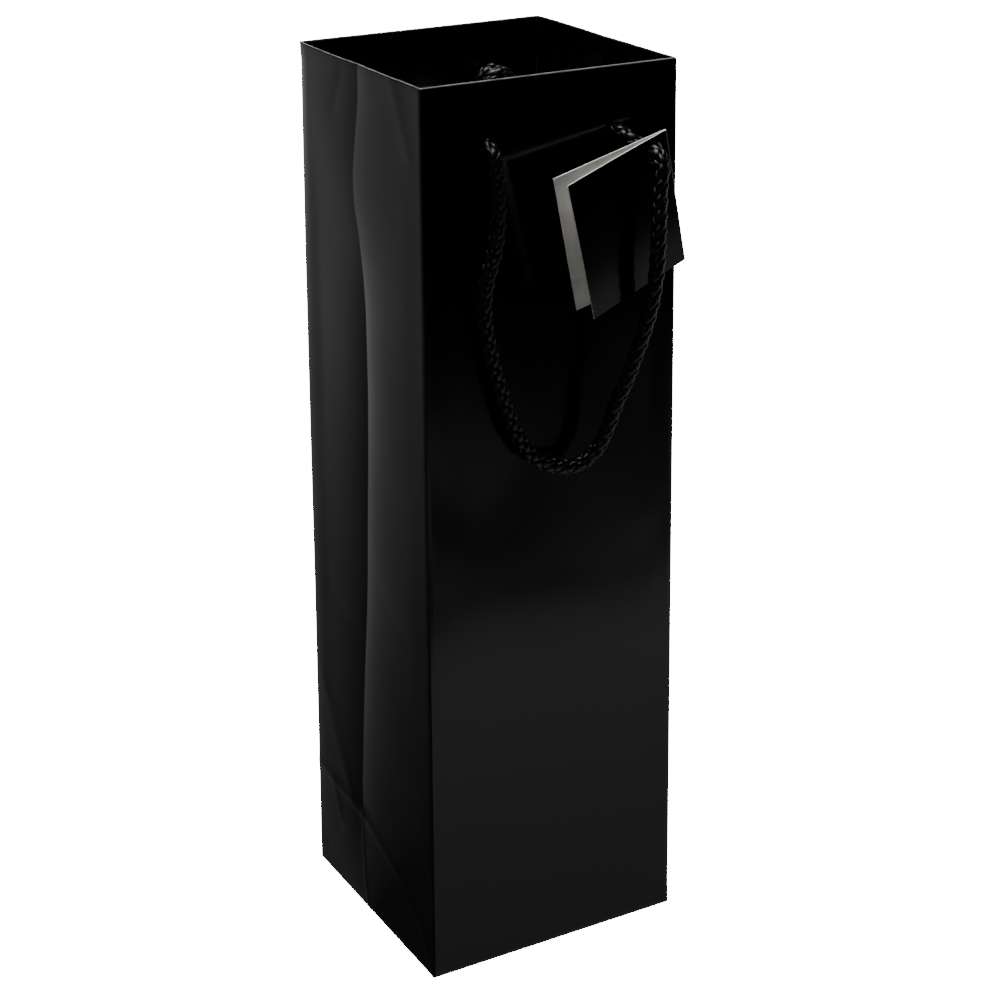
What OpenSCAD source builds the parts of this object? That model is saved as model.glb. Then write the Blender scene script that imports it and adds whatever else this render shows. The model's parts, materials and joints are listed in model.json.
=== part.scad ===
// Wine gift bag: laminated paper body, turned-in top, two rope handles and a folded gift tag.
// Millimetres. Origin at the centre of the underside, +Z up, the front faces -Y.

/* [Body] */
// Height of the bag
bag_h = 350; // [300:5:400]
// Width of the front, between its two vertical edges
bag_w = 105; // [95:1:130]
// Depth, from the front face to the rear face
bag_d = 100; // [90:1:120]
// How far each side's centre crease leans into the bag
crease_in = 2; // [0:0.5:5]
// Height of the point where each side's creases meet
foot_h = 45; // [35:1:50]

/* [Paper and card] */
// Thickness of the laminated paper
paper_t = 0.4; // [0.2:0.1:0.5]
// Thickness of the card that stiffens the top edge
top_card_t = 0.6; // [0.4:0.1:1]
// Thickness of the card that lies on the bottom
base_card_t = 1; // [0.6:0.1:2]
// Play between the bottom card and the front and rear walls, each
base_card_gap = 1.5; // [0.5:0.5:3]
// Play between the bottom card and the left and right walls, each
base_card_play = 1; // [0.5:0.5:3]
// Depth of the paper turned in at the top
hem_h = 45; // [35:1:60]
// Height of the card inside the turned-in paper
top_card_h = 40; // [30:1:55]
// Width of the flap that is glued along the side seam
seam_w = 15; // [10:1:20]

/* [Handles] */
// Diameter of the braided rope
rope_d = 6; // [4:0.5:7]
// Diameter of the punched holes
hole_d = 7; // [5:0.5:9]
// Distance between the two holes of one handle
hole_gap = 52; // [40:1:60]
// Distance of the holes below the top edge
hole_drop = 23; // [18:1:30]

/* [Gift tag] */
// Width of each leaf of the tag, from the fold
tag_w = 50; // [40:1:55]
// Height of the tag
tag_h = 50; // [40:1:55]
// Thickness of the tag's card
tag_t = 0.4; // [0.2:0.1:0.5]
// Diameter of the tag's hole
tag_hole_d = 7.6; // [7:0.1:9]
// Distance of the tag's hole from its fold
tag_hole_in = 7; // [6:0.5:10]
// Distance of the tag's hole from its top edge
tag_hole_drop = 6; // [5:0.5:10]
// How far the tag hangs turned, anticlockwise from the front
tag_turn = 12; // [0:1:20]
// How far the tag's free side stands away from the bag
tag_yaw = 6; // [0:1:10]
// Angle between the tag's two leaves
tag_open = 8.6; // [2:0.2:12]

/* [Hidden] */

half_w = bag_w / 2;
half_d = bag_d / 2;
// Inside faces of the panels
in_w = half_w - paper_t;
in_d = half_d - paper_t;
// Depth below a panel's outer face at which the turned-in paper ends
hem_depth = 2 * paper_t + top_card_t;
hole_z = bag_h - hole_drop;
rope_r = rope_d / 2;
front = -1;
rear = 1;

// Underside of the stack of bottom flaps: front flap, rear flap, side flaps, base card
rear_flap_z = paper_t;
side_flap_z = 2 * paper_t;
base_card_z = 3 * paper_t;
// How far the rear and the front bottom flaps reach past the bag's middle
rear_flap_past = 10;
front_flap_past = 12;
// How far a side's bottom flap stops short of the bag's middle line
side_flap_short = 8;

// Centre of the tag's hole, and the gap between the two leaves when they are closed
tag_hole_x = 33;
tag_hole_out = 12;
tag_hole_below = 6;
leaf_gap = 0.3;

// How far the rope runs straight out of a hole before it may swing
straight_out = 4.5;
// The same at the hole beside the tag, where the rope turns towards the tag at once
straight_out_at_tag = 1.6;

// Radius at which a knot's turns lie round the rope, how much the second is tighter, the distance
// between the two, and the play between the first and the turned-in paper
knot_turn_r = 0.75 * rope_d;
knot_tighter = 0.8;
knot_pitch = 0.9 * rope_d;
knot_play = 0.2;

// Routes are lists of [x, out from the panel, distance below the holes]
tag_run_route = [
    [26, 1.6, 0], [26, 2.4, 0], [27, 4.4, 0.8], [29.4, 7, 3], [31.8, 9.2, 5.2], [32.8, 11.2, 6],
    [33.2, 14.6, 6], [33.7, 18.8, 6]
];
front_route = [
    [-26, 4.5, 3.4], [-25.8, 4.5, 8], [-25.3, 4.6, 13], [-25, 4.8, 19], [-25.5, 5, 27],
    [-27, 5, 36], [-29.5, 5, 44], [-31, 5, 52], [-30.8, 5, 60], [-29.4, 5, 68], [-27, 5, 78],
    [-24, 5, 88], [-20.8, 5.2, 98], [-16.5, 5.6, 107.5], [-10, 6.2, 115.5], [-2, 7, 119.5],
    [6, 8, 120], [12.5, 10, 115.5], [16.5, 12.2, 107], [19.5, 14.6, 97], [22.8, 16.8, 87],
    [25.4, 19, 76], [27.4, 21.2, 65], [28.4, 22.8, 55], [29, 23.4, 45], [29.8, 22.8, 35],
    [31, 21.4, 25], [32.4, 19.8, 16], [33.5, 18.9, 9.4]
];
rear_route = [
    [-26, 4.5, 3.4], [-26.1, 4.5, 9], [-26.6, 4.7, 16], [-27.4, 4.9, 25], [-28.4, 5, 35],
    [-29, 5, 46], [-29, 5, 57], [-28.2, 5, 68], [-26.6, 5, 79], [-24, 5, 90], [-20.2, 5, 100],
    [-15, 5, 109], [-8.5, 5, 116], [-1, 5, 119], [7, 5, 118], [14, 5, 113], [19.4, 5, 105],
    [23, 5, 95], [25.4, 5, 84], [27, 5, 72], [27.8, 5, 60], [28, 5, 48], [27.6, 5, 36],
    [27, 4.9, 25], [26.4, 4.7, 15], [26.1, 4.5, 8.5], [26, 4.5, 3.4]
];

// A route's point in the bag's frame, on the front (-1) or the rear (1)
function placed(p, side) = [p[0], side * (half_d + p[1]), hole_z - p[2]];

// The direction in which a route runs at its point i
function heading(path, i) =
    let (step = path[min(i + 1, len(path) - 1)] - path[max(i - 1, 0)])
    step / norm(step);

// A square frame carried along a path: the first side vector, turned as little as possible
function carried(path, i, side) =
    let (h = heading(path, i), flat = side - (side * h) * h)
    flat / norm(flat);
function frames(path, i, side) =
    i >= len(path) ? [] :
    let (u = carried(path, i, side))
    concat([[path[i], u, cross(heading(path, i), u)]], frames(path, i + 1, u));

module tube(path, r, sides) {
    rings = frames(path, 0, [0, 1, 0.01]);
    n = len(rings);
    points = [
        for (f = rings) for (k = [0 : sides - 1])
            let (a = 360 * k / sides)
            f[0] + r * (cos(a) * f[1] + sin(a) * f[2])
    ];
    walls = [
        for (i = [0 : n - 2]) for (k = [0 : sides - 1])
            let (k2 = (k + 1) % sides)
            [i * sides + k, (i + 1) * sides + k, (i + 1) * sides + k2, i * sides + k2]
    ];
    start_cap = [for (k = [0 : sides - 1]) k];
    end_cap = [for (k = [sides - 1 : -1 : 0]) (n - 1) * sides + k];
    polyhedron(points, concat([start_cap], walls, [end_cap]), convexity = 10);
}

// Round holes through everything on one face, at that handle's two places
module handle_holes(side) {
    for (x = [-hole_gap / 2, hole_gap / 2])
        translate([x, side * (half_d + 1), hole_z])
            rotate([side * 90, 0, 0])
                cylinder(h = hem_depth + 2, d = hole_d, $fn = 48);
}

// A full-width sheet parallel to the front, from depth a to depth b below the panel's outer face
module face_sheet(side, a, b, width, z0, z1) {
    y0 = side > 0 ? half_d - b : -half_d + a;
    translate([-width / 2, y0, z0])
        cube([width, b - a, z1 - z0]);
}

module panel(side) {
    difference() {
        face_sheet(side, 0, paper_t, bag_w, 0, bag_h);
        handle_holes(side);
    }
}

module front_panel() {
    color("#161616") panel(front);
}

module rear_panel() {
    color("#161616") panel(rear);
}

// Half of a side, from its corner to the centre crease, leaning in towards the crease
module gusset_half(side, end) {
    y0 = end * in_d;
    linear_extrude(height = bag_h - foot_h)
        polygon([
            [side * half_w, y0],
            [side * (half_w - crease_in), 0],
            [side * (in_w - crease_in), 0],
            [side * in_w, y0]
        ]);
}

module left_gusset_front() {
    color("#202020") translate([0, 0, foot_h]) gusset_half(-1, front);
}

module left_gusset_rear() {
    color("#262626") translate([0, 0, foot_h]) gusset_half(-1, rear);
}

module right_gusset_front() {
    color("#202020") translate([0, 0, foot_h]) gusset_half(1, front);
}

module right_gusset_rear() {
    color("#262626") translate([0, 0, foot_h]) gusset_half(1, rear);
}

// The part of a side below its crossing creases stands flat
module gusset_foot(side) {
    translate([side > 0 ? in_w : -half_w, -in_d, 0])
        cube([paper_t, 2 * in_d, foot_h]);
}

module left_gusset_foot() {
    color("#1c1c1c") gusset_foot(-1);
}

module right_gusset_foot() {
    color("#1c1c1c") gusset_foot(1);
}

// Inside the rear panel, along its left edge
module seam_flap() {
    color("#d8d8d6")
        translate([-in_w, in_d - paper_t, base_card_z])
            cube([seam_w, paper_t, bag_h - hem_h - base_card_z]);
}

// Paper turned over the top card: a strip behind the card and a narrow top over it
module face_hem(side) {
    width = 2 * (in_w - paper_t);
    difference() {
        union() {
            face_sheet(side, hem_depth - paper_t, hem_depth, width, bag_h - hem_h, bag_h);
            face_sheet(side, paper_t, hem_depth - paper_t, width, bag_h - paper_t, bag_h);
        }
        handle_holes(side);
    }
}

module front_hem() {
    color("#222222") face_hem(front);
}

module rear_hem() {
    color("#222222") face_hem(rear);
}

// Paper turned in at the top of a side, following its centre crease
module side_hem(side) {
    end_y = half_d - hem_depth;
    outer = in_w;
    inner = in_w - paper_t;
    lean = crease_in * (1 - end_y / in_d);
    translate([0, 0, bag_h - hem_h])
        linear_extrude(height = hem_h)
            polygon([
                [side * (outer - lean), -end_y],
                [side * (outer - crease_in), 0],
                [side * (outer - lean), end_y],
                [side * (inner - lean), end_y],
                [side * (inner - crease_in), 0],
                [side * (inner - lean), -end_y]
            ]);
}

module left_hem() {
    color("#222222") side_hem(-1);
}

module right_hem() {
    color("#222222") side_hem(1);
}

module top_card(side) {
    top = bag_h - paper_t;
    difference() {
        face_sheet(side, paper_t, paper_t + top_card_t, 2 * (in_w - paper_t), top - top_card_h, top);
        handle_holes(side);
    }
}

module front_top_card() {
    color("#9a9a98") top_card(front);
}

module rear_top_card() {
    color("#9a9a98") top_card(rear);
}

// A side's bottom flap, folded in first: its slanted ends run at 45 degrees
module side_flap(side) {
    reach = in_d - side_flap_short;
    translate([0, 0, side_flap_z])
        linear_extrude(height = paper_t)
            polygon([
                [side * in_w, -in_d],
                [side * in_w, in_d],
                [side * (in_w - reach), in_d - reach],
                [side * (in_w - reach), reach - in_d]
            ]);
}

module bottom_left_flap() {
    color("#d8d8d6") side_flap(-1);
}

module bottom_right_flap() {
    color("#d8d8d6") side_flap(1);
}

// The rear and front bottom flaps cross the middle and are glued where they overlap
module bottom_rear_flap() {
    color("#1c1c1c")
        translate([-in_w, -rear_flap_past, rear_flap_z])
            cube([2 * in_w, in_d + rear_flap_past, paper_t]);
}

module bottom_front_flap() {
    color("#161616")
        translate([-in_w, -in_d, 0])
            cube([2 * in_w, in_d + front_flap_past, paper_t]);
}

module base_card() {
    card_w = 2 * (in_w - base_card_play);
    card_d = 2 * (in_d - base_card_gap);
    color("#9a9a98")
        translate([-card_w / 2, -card_d / 2, base_card_z])
            cube([card_w, card_d, base_card_t]);
}

// Half the outline of a knot and its rope, from the axis: two round turns on the standing part
module knot_outline(length_out) {
    first = hem_depth + rope_r + knot_play;
    second = first + knot_pitch;
    translate([0, -length_out])
        square([rope_r, length_out + second]);
    translate([0, first - rope_r])
        square([knot_turn_r, knot_pitch + rope_d]);
    translate([knot_turn_r, first])
        circle(r = rope_r, $fn = 48);
    translate([knot_turn_r - knot_tighter, second])
        circle(r = rope_r, $fn = 48);
}

// A stopper knot inside a face, with the rope straight out through its hole
module knot(side, x, length_out) {
    translate([x, side * half_d, hole_z])
        rotate([side * 90, 0, 0])
            rotate_extrude($fn = 64)
                intersection() {
                    knot_outline(length_out);
                    translate([0, -half_d])
                        square([half_w, bag_d]);
                }
}

module front_left_knot() {
    color("#101010") knot(front, -hole_gap / 2, straight_out);
}

module front_right_knot() {
    color("#101010") knot(front, hole_gap / 2, straight_out_at_tag);
}

module rear_left_knot() {
    color("#101010") knot(rear, -hole_gap / 2, straight_out);
}

module rear_right_knot() {
    color("#101010") knot(rear, hole_gap / 2, straight_out);
}

// From the right hole through the tag's hole, up to the place where the rope turns down
module front_rope_at_tag() {
    color("#101010") tube([for (p = tag_run_route) placed(p, front)], rope_r, 10);
}

// The hanging loops, each swinging about the line between the two places where it turns down
module front_rope() {
    color("#101010") tube([for (p = front_route) placed(p, front)], rope_r, 10);
}

module rear_rope() {
    color("#101010") tube([for (p = rear_route) placed(p, rear)], rope_r, 10);
}

// The tag's own frame: origin at the centre of its hole, on the rear leaf's middle plane
module on_tag() {
    translate(placed([tag_hole_x, tag_hole_out, tag_hole_below], front))
        rotate([0, -tag_turn, tag_yaw])
            children();
}

// A leaf from the fold towards -X, its middle plane at the given y
module leaf(y) {
    difference() {
        translate([tag_hole_in - tag_w, y - tag_t / 2, tag_hole_drop - tag_h])
            cube([tag_w, tag_t, tag_h]);
        translate([0, y + tag_t, 0])
            rotate([90, 0, 0])
                cylinder(h = 2 * tag_t, d = tag_hole_d, $fn = 64);
    }
}

module tag_rear_leaf() {
    color("#141414") on_tag() leaf(0);
}

// The front leaf turns about the fold, halfway between the two closed leaves
module tag_front_leaf() {
    fold_y = -(tag_t + leaf_gap) / 2;
    color("#141414")
        on_tag()
            translate([tag_hole_in, fold_y, 0])
                rotate([0, 0, tag_open])
                    translate([-tag_hole_in, -fold_y, 0])
                        leaf(2 * fold_y);
}

front_panel();
rear_panel();
left_gusset_front();
left_gusset_rear();
left_gusset_foot();
right_gusset_front();
right_gusset_rear();
right_gusset_foot();
seam_flap();
front_hem();
rear_hem();
left_hem();
right_hem();
front_top_card();
rear_top_card();
bottom_left_flap();
bottom_right_flap();
bottom_rear_flap();
bottom_front_flap();
base_card();
front_left_knot();
front_right_knot();
rear_left_knot();
rear_right_knot();
front_rope_at_tag();
front_rope();
rear_rope();
tag_rear_leaf();
tag_front_leaf();
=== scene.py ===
# %% [markdown]
# # A wine gift bag
#
# A tall bag of black laminated paper, folded from one sheet, with two braided rope handles and a
# folded gift tag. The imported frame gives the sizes, the places and the joints. This lesson gives each
# piece its looks: the folded sheet with its creases, the braid of the ropes, and the tag.

# %% Setup
import json
import math

import bpy
import numpy as np
from mathutils import Matrix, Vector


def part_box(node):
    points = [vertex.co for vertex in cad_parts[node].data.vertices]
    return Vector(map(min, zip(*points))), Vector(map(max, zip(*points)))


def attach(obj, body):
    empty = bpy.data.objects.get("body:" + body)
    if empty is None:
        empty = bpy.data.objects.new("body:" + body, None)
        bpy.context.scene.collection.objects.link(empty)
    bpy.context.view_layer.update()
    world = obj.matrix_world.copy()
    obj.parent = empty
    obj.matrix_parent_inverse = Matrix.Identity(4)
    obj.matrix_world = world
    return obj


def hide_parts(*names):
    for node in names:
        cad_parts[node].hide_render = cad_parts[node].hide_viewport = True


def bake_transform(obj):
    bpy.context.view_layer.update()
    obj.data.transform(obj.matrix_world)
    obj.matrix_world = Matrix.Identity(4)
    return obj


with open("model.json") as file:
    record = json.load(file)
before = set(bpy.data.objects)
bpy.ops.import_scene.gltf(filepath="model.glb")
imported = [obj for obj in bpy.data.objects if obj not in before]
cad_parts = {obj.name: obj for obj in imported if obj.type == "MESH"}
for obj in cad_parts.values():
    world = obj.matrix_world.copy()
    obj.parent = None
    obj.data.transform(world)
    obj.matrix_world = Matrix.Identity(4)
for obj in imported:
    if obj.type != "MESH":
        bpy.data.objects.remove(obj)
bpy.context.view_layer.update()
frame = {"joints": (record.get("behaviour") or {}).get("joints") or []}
MM = 0.001

# %% [markdown]
# ## Measures
#
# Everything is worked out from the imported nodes: the front panel gives the bag's width and height, the
# two panels give its depth, and the joints give the lines about which the ropes and the tag turn. Work
# is done in millimetres, and a mesh is scaled to metres only when it is made.

# %% Measures from the frame
def corner_mm(node, end):
    """Lowest (end 0) or highest (end 1) corner of a node's box, in millimetres."""
    return np.array(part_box(node)[end]) / MM


BAG_W = corner_mm("front_panel", 1)[0] - corner_mm("front_panel", 0)[0]
BAG_H = corner_mm("front_panel", 1)[2]
BAG_D = corner_mm("rear_panel", 1)[1] - corner_mm("front_panel", 0)[1]
HEM_H = BAG_H - corner_mm("front_hem", 0)[2]
HEM_DEPTH = corner_mm("front_hem", 1)[1] - corner_mm("front_panel", 0)[1]
HOLE_X = (corner_mm("front_left_knot", 0)[0] + corner_mm("front_left_knot", 1)[0]) / -2
HOLE_Z = (corner_mm("front_left_knot", 0)[2] + corner_mm("front_left_knot", 1)[2]) / 2
HOLE_R = 3.1             # the punched paper closes on the rope a little
JOINTS = {joint["name"]: joint for joint in frame["joints"]}
print(f"bag {BAG_W:.1f} x {BAG_D:.1f} x {BAG_H:.1f} mm, holes at x {HOLE_X:.1f}, z {HOLE_Z:.1f} mm")

# %% [markdown]
# ## Camera
#
# The bag is seen from the front left and from a little above, with a moderately long lens, so that its
# upright edges close up only slightly. The camera is placed by the direction in which it looks: an
# angle round the bag, an angle down, and a slight roll.

# %% Camera
def look_matrix(place, round_deg, down_deg, roll_deg):
    """Camera matrix. Forward is north turned by the round angle and dipped by the down angle; right is
    level; then right and down are both turned by the roll."""
    a, e, r = (math.radians(v) for v in (round_deg, down_deg, roll_deg))
    forward = np.array([math.sin(a) * math.cos(e), math.cos(a) * math.cos(e), -math.sin(e)])
    right = np.array([math.cos(a), -math.sin(a), 0.0])
    down = np.cross(forward, right)
    rolled_right = right * math.cos(r) + down * math.sin(r)
    rolled_down = down * math.cos(r) - right * math.sin(r)
    matrix = np.eye(4)
    matrix[:3, 0], matrix[:3, 1], matrix[:3, 2] = rolled_right, -rolled_down, -forward
    matrix[:3, 3] = place
    return Matrix(matrix.tolist())


CAMERA_PLACE = (-0.3817, -0.6930, 0.5031)
ROUND_DEG, DOWN_DEG, ROLL_DEG = 29.19, 22.63, 0.40
camera_data = bpy.data.cameras.new("camera")
camera_data.sensor_width = 36.0
camera_data.lens = 78.6
camera = bpy.data.objects.new("camera", camera_data)
camera.matrix_world = look_matrix(CAMERA_PLACE, ROUND_DEG, DOWN_DEG, ROLL_DEG)
bpy.context.scene.collection.objects.link(camera)
bpy.context.scene.camera = camera
print(f"camera with a {camera_data.lens} mm lens at {CAMERA_PLACE}")

# %% [markdown]
# ## Helpers
#
# Four small helpers are used all through: one turns a written colour into the renderer's linear one,
# one adds a node with its settings and its links, one makes a mesh from whole arrays, and one numbers
# the corners of a grid's faces.

# %% Helpers
def linear(hex_colour):
    """sRGB hex to linear RGBA: each channel over 12.92 near black, and else the 2.4 power law."""
    value = np.array([int(hex_colour[i:i + 2], 16) for i in (1, 3, 5)]) / 255
    low, high = value / 12.92, ((value + 0.055) / 1.055) ** 2.4
    return (*np.where(value <= 0.04045, low, high), 1.0)


def add_node(tree, kind, inputs=None, **settings):
    """Adds a shader node, sets its properties, and gives each input a value or a link."""
    node = tree.nodes.new("ShaderNode" + kind)
    for key, value in settings.items():
        setattr(node, key, value)
    for key, value in (inputs or {}).items():
        if isinstance(value, bpy.types.NodeSocket):
            tree.links.new(value, node.inputs[key])
        else:
            node.inputs[key].default_value = value
    return node


def make_mesh(name, points, quads, uv=None, attributes=None):
    """A smooth mesh from an (n, 3) array in millimetres and an (m, 4) array of corners. uv holds one
    pair for each vertex, and attributes one number for each vertex. Open rims are marked sharp, so that
    the shading of a thin sheet doesn't run round its cut edge."""
    mesh = bpy.data.meshes.new(name)
    mesh.vertices.add(len(points))
    mesh.vertices.foreach_set("co", (np.asarray(points, float) * MM).ravel())
    mesh.loops.add(quads.size)
    mesh.loops.foreach_set("vertex_index", quads.ravel().astype(np.int32))
    mesh.polygons.add(len(quads))
    mesh.polygons.foreach_set("loop_start", np.arange(0, quads.size, 4, dtype=np.int32))
    if uv is not None:
        layer = mesh.uv_layers.new(name="UVMap")
        layer.data.foreach_set("uv", np.asarray(uv, float)[quads.ravel()].ravel())
    for key, values in (attributes or {}).items():
        layer = mesh.attributes.new(key, "FLOAT", "POINT")
        layer.data.foreach_set("value", np.asarray(values, np.float32))
    mesh.update(calc_edges=True)
    mesh.shade_smooth()
    edge_of_loop = np.zeros(len(mesh.loops), np.int32)
    mesh.loops.foreach_get("edge_index", edge_of_loop)
    rim = np.bincount(edge_of_loop, minlength=len(mesh.edges)) == 1
    mesh.attributes.new("sharp_edge", "BOOLEAN", "EDGE").data.foreach_set("value", rim)
    piece = bpy.data.objects.new(name, mesh)
    bpy.context.scene.collection.objects.link(piece)
    return piece


def grid_quads(rows, columns, closed):
    """Corners of the faces of a grid whose point (i, j) has number i * columns + j. With closed, the
    last column joins the first."""
    i = np.arange(rows - 1)[:, None]
    j = np.arange(columns if closed else columns - 1)[None, :]
    k = (j + 1) % columns
    return np.stack(np.broadcast_arrays(i * columns + j, i * columns + k,
                                        (i + 1) * columns + k, (i + 1) * columns + j), -1).reshape(-1, 4)


# %% [markdown]
# ## How the paper has settled
#
# A folded bag is never the clean box of its drawing. The mouth draws in a little and the base, which a
# card keeps open, spreads a little. Each side has a sharp valley down its middle, left from lying flat,
# which wanders by a few millimetres. Near the base it meets the creases of the folded bottom. The paper
# between is slightly wavy, and gloss shows every tenth of a millimetre of it. One displacement of space
# does all this, so the walls, the turned-in top, the cards inside it, the ropes and their knots all
# move together.

# %% Fold lines and dents
MOUTH_IN = 0.02          # share by which the mouth draws in
BASE_OUT = 0.046         # share by which the base spreads
VALLEY_Z = [0, 17, 42, 56, 83, 109, 135, 153, 227, 243, 258, 274, 287, 297, 309, 322, 337, 350]
VALLEY_Y = [5.5, 9.2, 11, 11.3, 9.6, 7.5, 5, 3.5, -1.1, -1.4, -1.4, -0.6, 1.1, 4.3, 5.2, 3, 0, -0.6]
VALLEY_DEEP_Z = [0, 30, 46, 120, 230, 262, 285, 302, 335, 350]
VALLEY_DEEP = [0, 0.5, 1.3, 1.7, 1.8, 1.5, 0.7, 0.6, 0.8, 0.8]
ROUNDED_Z = [0, 40, 120, 200, 270, 320, 343, 350]
ROUNDED = [0, 0.25, 0.40, 0.32, 0.45, 0.85, 1.10, 0.50]
VALLEY_WIDTH = 11        # how fast a valley fades out to its two sides
ROUNDED_WIDTH = 8        # how much of the side rounds towards the rear edge
BASE_HELD = 25           # up to here the base card holds the paper flat
SIDE_HELD, FACE_HELD = 14, 10    # how far the upright folds hold the paper flat
SIDE_WAVES, FACE_WAVES = 0.10, 0.085
HOLLOW = 0.25            # shallow hollow down the middle of the front and the rear
CARD_Z, CARD_FADE, UNDER_CARD = 312, 30, 0.35    # the card in the top leaves this share of the waves
# Small creases on the left side, each with its points (depth, height), depth in mm and width in mm
LEFT_CREASES = [
    ([(11, 42.3), (34.8, 45.7), (50, 48)], -0.35, 1.6),
    ([(11, 42.3), (-23, 30.3), (-41.5, 16.2), (-49.2, 1.3)], -0.28, 1.4),
    ([(11, 42.3), (9, 17.2), (5.5, 1)], -0.22, 1.3),
    ([(34.9, 44.4), (27.9, 27.8), (10.1, 41.8)], -0.22, 2.2),
    ([(27.9, 27.8), (42.4, 11.8)], 0.22, 1.8),
    ([(30.7, 4.4), (7.3, 23.4)], 0.20, 1.6),
    ([(42.7, 89.5), (33.2, 70.4), (19, 45)], -0.25, 4.0),
    ([(-6.5, 45.3), (-26.8, 63.7)], 0.10, 1.5),
    ([(-9.3, 151.3), (-20.7, 141.8), (-34, 138)], 0.12, 3.0),
    ([(35.6, 134.4), (18.2, 124.3), (9.6, 119.3)], 0.15, 3.0),
    ([(12, 346), (19.1, 332)], 0.18, 4.5),
    ([(-27.3, 350), (-40.2, 325)], -0.20, 4.0),
]


def line_distance(y, z, points):
    """Least distance from (y, z) to a line of straight pieces: for each piece, the distance to the
    nearest point of it, whose place along it is clipped to the piece."""
    best = np.full(np.shape(y), 1e9)
    for (y0, z0), (y1, z1) in zip(points, points[1:]):
        run = (y1 - y0) ** 2 + (z1 - z0) ** 2
        t = np.clip(((y - y0) * (y1 - y0) + (z - z0) * (z1 - z0)) / run, 0, 1)
        best = np.minimum(best, np.hypot(y - y0 - t * (y1 - y0), z - z0 - t * (z1 - z0)))
    return best


def waves(a, b, seed, amount):
    """Soft waviness: a sum of sines in random directions, with lengths from 45 to 160 mm, each as high as
    the square of its length, so that no length tilts the paper much more than another."""
    random = np.random.default_rng(seed)
    height = np.zeros(np.shape(a))
    for length in (160, 120, 90, 66, 45):
        way, phase = random.uniform(0, 2 * math.pi, 2)
        along = a * math.cos(way) + b * math.sin(way)
        height += (length / 100) ** 2 * np.sin(2 * math.pi * along / length + phase)
    return amount * height


def side_depth(y, z, creases, seed):
    """How far a side goes in: the valley, which falls off on both sides as an exponential of the distance
    from its line; the rounding towards the rear edge; the small creases; and the waviness."""
    line = np.interp(z, VALLEY_Z, VALLEY_Y)
    deep = np.interp(z, VALLEY_DEEP_Z, VALLEY_DEEP)
    depth = deep * np.exp(-np.abs(y - line) / VALLEY_WIDTH)
    near_rear_edge = np.clip(1 - (BAG_D / 2 - y) / ROUNDED_WIDTH, 0, 1)
    depth += np.interp(z, ROUNDED_Z, ROUNDED) * near_rear_edge**2
    for points, amount, width in creases:
        depth += amount * np.exp(-line_distance(y, z, points) / width)
    held = np.clip(z / BASE_HELD, 0, 1) * np.clip((BAG_D / 2 - np.abs(y)) / SIDE_HELD, 0, 1)
    return depth + held * waves(y, z, seed, SIDE_WAVES)


def face_depth(x, z, seed):
    """How far the front or the rear goes in: the waviness, held flat near its edges, its base and the
    carded top, and a very shallow hollow down the middle."""
    held = np.clip((BAG_W / 2 - np.abs(x)) / FACE_HELD, 0, 1) * np.clip(z / BASE_HELD, 0, 1)
    free = UNDER_CARD + (1 - UNDER_CARD) * np.clip((CARD_Z - z) / CARD_FADE, 0, 1)
    return held * free * (waves(x, z, seed, FACE_WAVES) + HOLLOW * np.cos(math.pi * x / BAG_W))


def settle(points):
    """The displacement of space. Each side's depth is taken in full on its own wall and falls with the
    cube of the distance towards the opposite wall. Then x and y are scaled by a share that falls evenly
    from the spread base to the drawn-in mouth."""
    x, y, z = np.asarray(points, float).T
    left = np.clip(0.5 - x / BAG_W, 0, 1.1) ** 3
    front = np.clip(0.5 - y / BAG_D, 0, 1.1) ** 3
    right = np.clip(0.5 + x / BAG_W, 0, 1.1) ** 3
    rear = np.clip(0.5 + y / BAG_D, 0, 1.1) ** 3
    new_x = x + left * side_depth(y, z, LEFT_CREASES, seed=4)
    new_x -= right * side_depth(y, z, LEFT_CREASES[:3], seed=9)
    new_y = y + front * face_depth(x, z, seed=21) - rear * face_depth(x, z, seed=12)
    share = 1 + BASE_OUT - (BASE_OUT + MOUTH_IN) * z / BAG_H
    return np.stack([new_x * share, new_y * share, z], 1)


mouth_corner, base_corner = settle([[-BAG_W / 2, -BAG_D / 2, BAG_H], [-BAG_W / 2, -BAG_D / 2, 0]])
print("left front corner at the mouth", mouth_corner.round(1), "and at the base", base_corner.round(1))


# %% [markdown]
# ## The ropes' routes
#
# Each handle is one rope. It comes out of a hole, turns down, hangs in a loop and goes back in through
# the other hole. The front rope also passes through the gift tag on its way in, so its right strand
# hangs in front of the tag. The routes are given as in the frame: distance to the right,
# distance out from the panel, and distance below the holes. Each hanging part is preceded and followed
# by the straight run through its hole, up to the knot inside.

# %% Rope routes
FRONT_HANG = [
    [-26, 4.5, 3.4], [-25.8, 4.5, 8], [-25.3, 4.6, 13], [-25, 4.8, 19], [-25.5, 5, 27],
    [-27, 5, 36], [-29.5, 5, 44], [-31, 5, 52], [-30.8, 5, 60], [-29.4, 5, 68], [-27, 5, 78],
    [-24, 5, 88], [-20.8, 5.2, 98], [-16.5, 5.6, 107.5], [-10, 6.2, 115.5], [-2, 7, 119.5],
    [6, 8, 120], [12, 10, 115.5], [15.6, 12.2, 107], [17.9, 14.6, 97], [21.1, 16.8, 87],
    [23.9, 19, 76], [26.3, 21.2, 65], [27.8, 22.8, 55], [28.8, 23.4, 45], [29.8, 22.8, 35],
    [31, 21.4, 25], [32.4, 19.8, 16], [33.5, 18.9, 9.4],
]
FRONT_TO_TAG = [
    [33.4, 16.4, 6.2], [33, 13, 6], [32.6, 10.4, 5.8], [30.6, 8, 4.1], [28, 5.4, 1.8], [26.4, 2.6, 0.4],
]
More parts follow.
